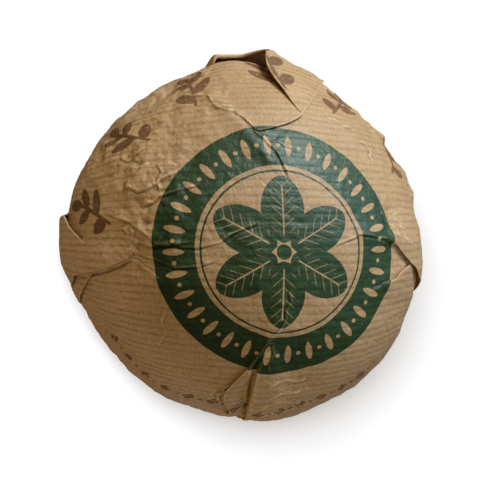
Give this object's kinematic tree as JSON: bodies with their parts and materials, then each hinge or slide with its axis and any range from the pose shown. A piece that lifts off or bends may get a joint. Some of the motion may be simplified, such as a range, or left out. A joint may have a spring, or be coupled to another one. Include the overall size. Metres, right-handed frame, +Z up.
{
  "type": "wrapped tuocha tea cake",
  "caption": "Nest-shaped cake of pressed dark tea in ribbed kraft paper, domed side up, with folded corners and a pleated hollow underneath.",
  "frame": {"origin": "middle of the footprint's box, on the surface that the rim stands on", "axes": "+Z up through the crown; +X to the right of the printed side as it reads, +Y towards its top"},
  "size_m": [0.0854, 0.0872, 0.047],
  "materials": {
    "kraft_paper": "matt ribbed wrapping paper, creased"
  },
  "bodies": {
    "root": {"wrapped_tuocha": "kraft_paper"}
  },
  "joints": []
}
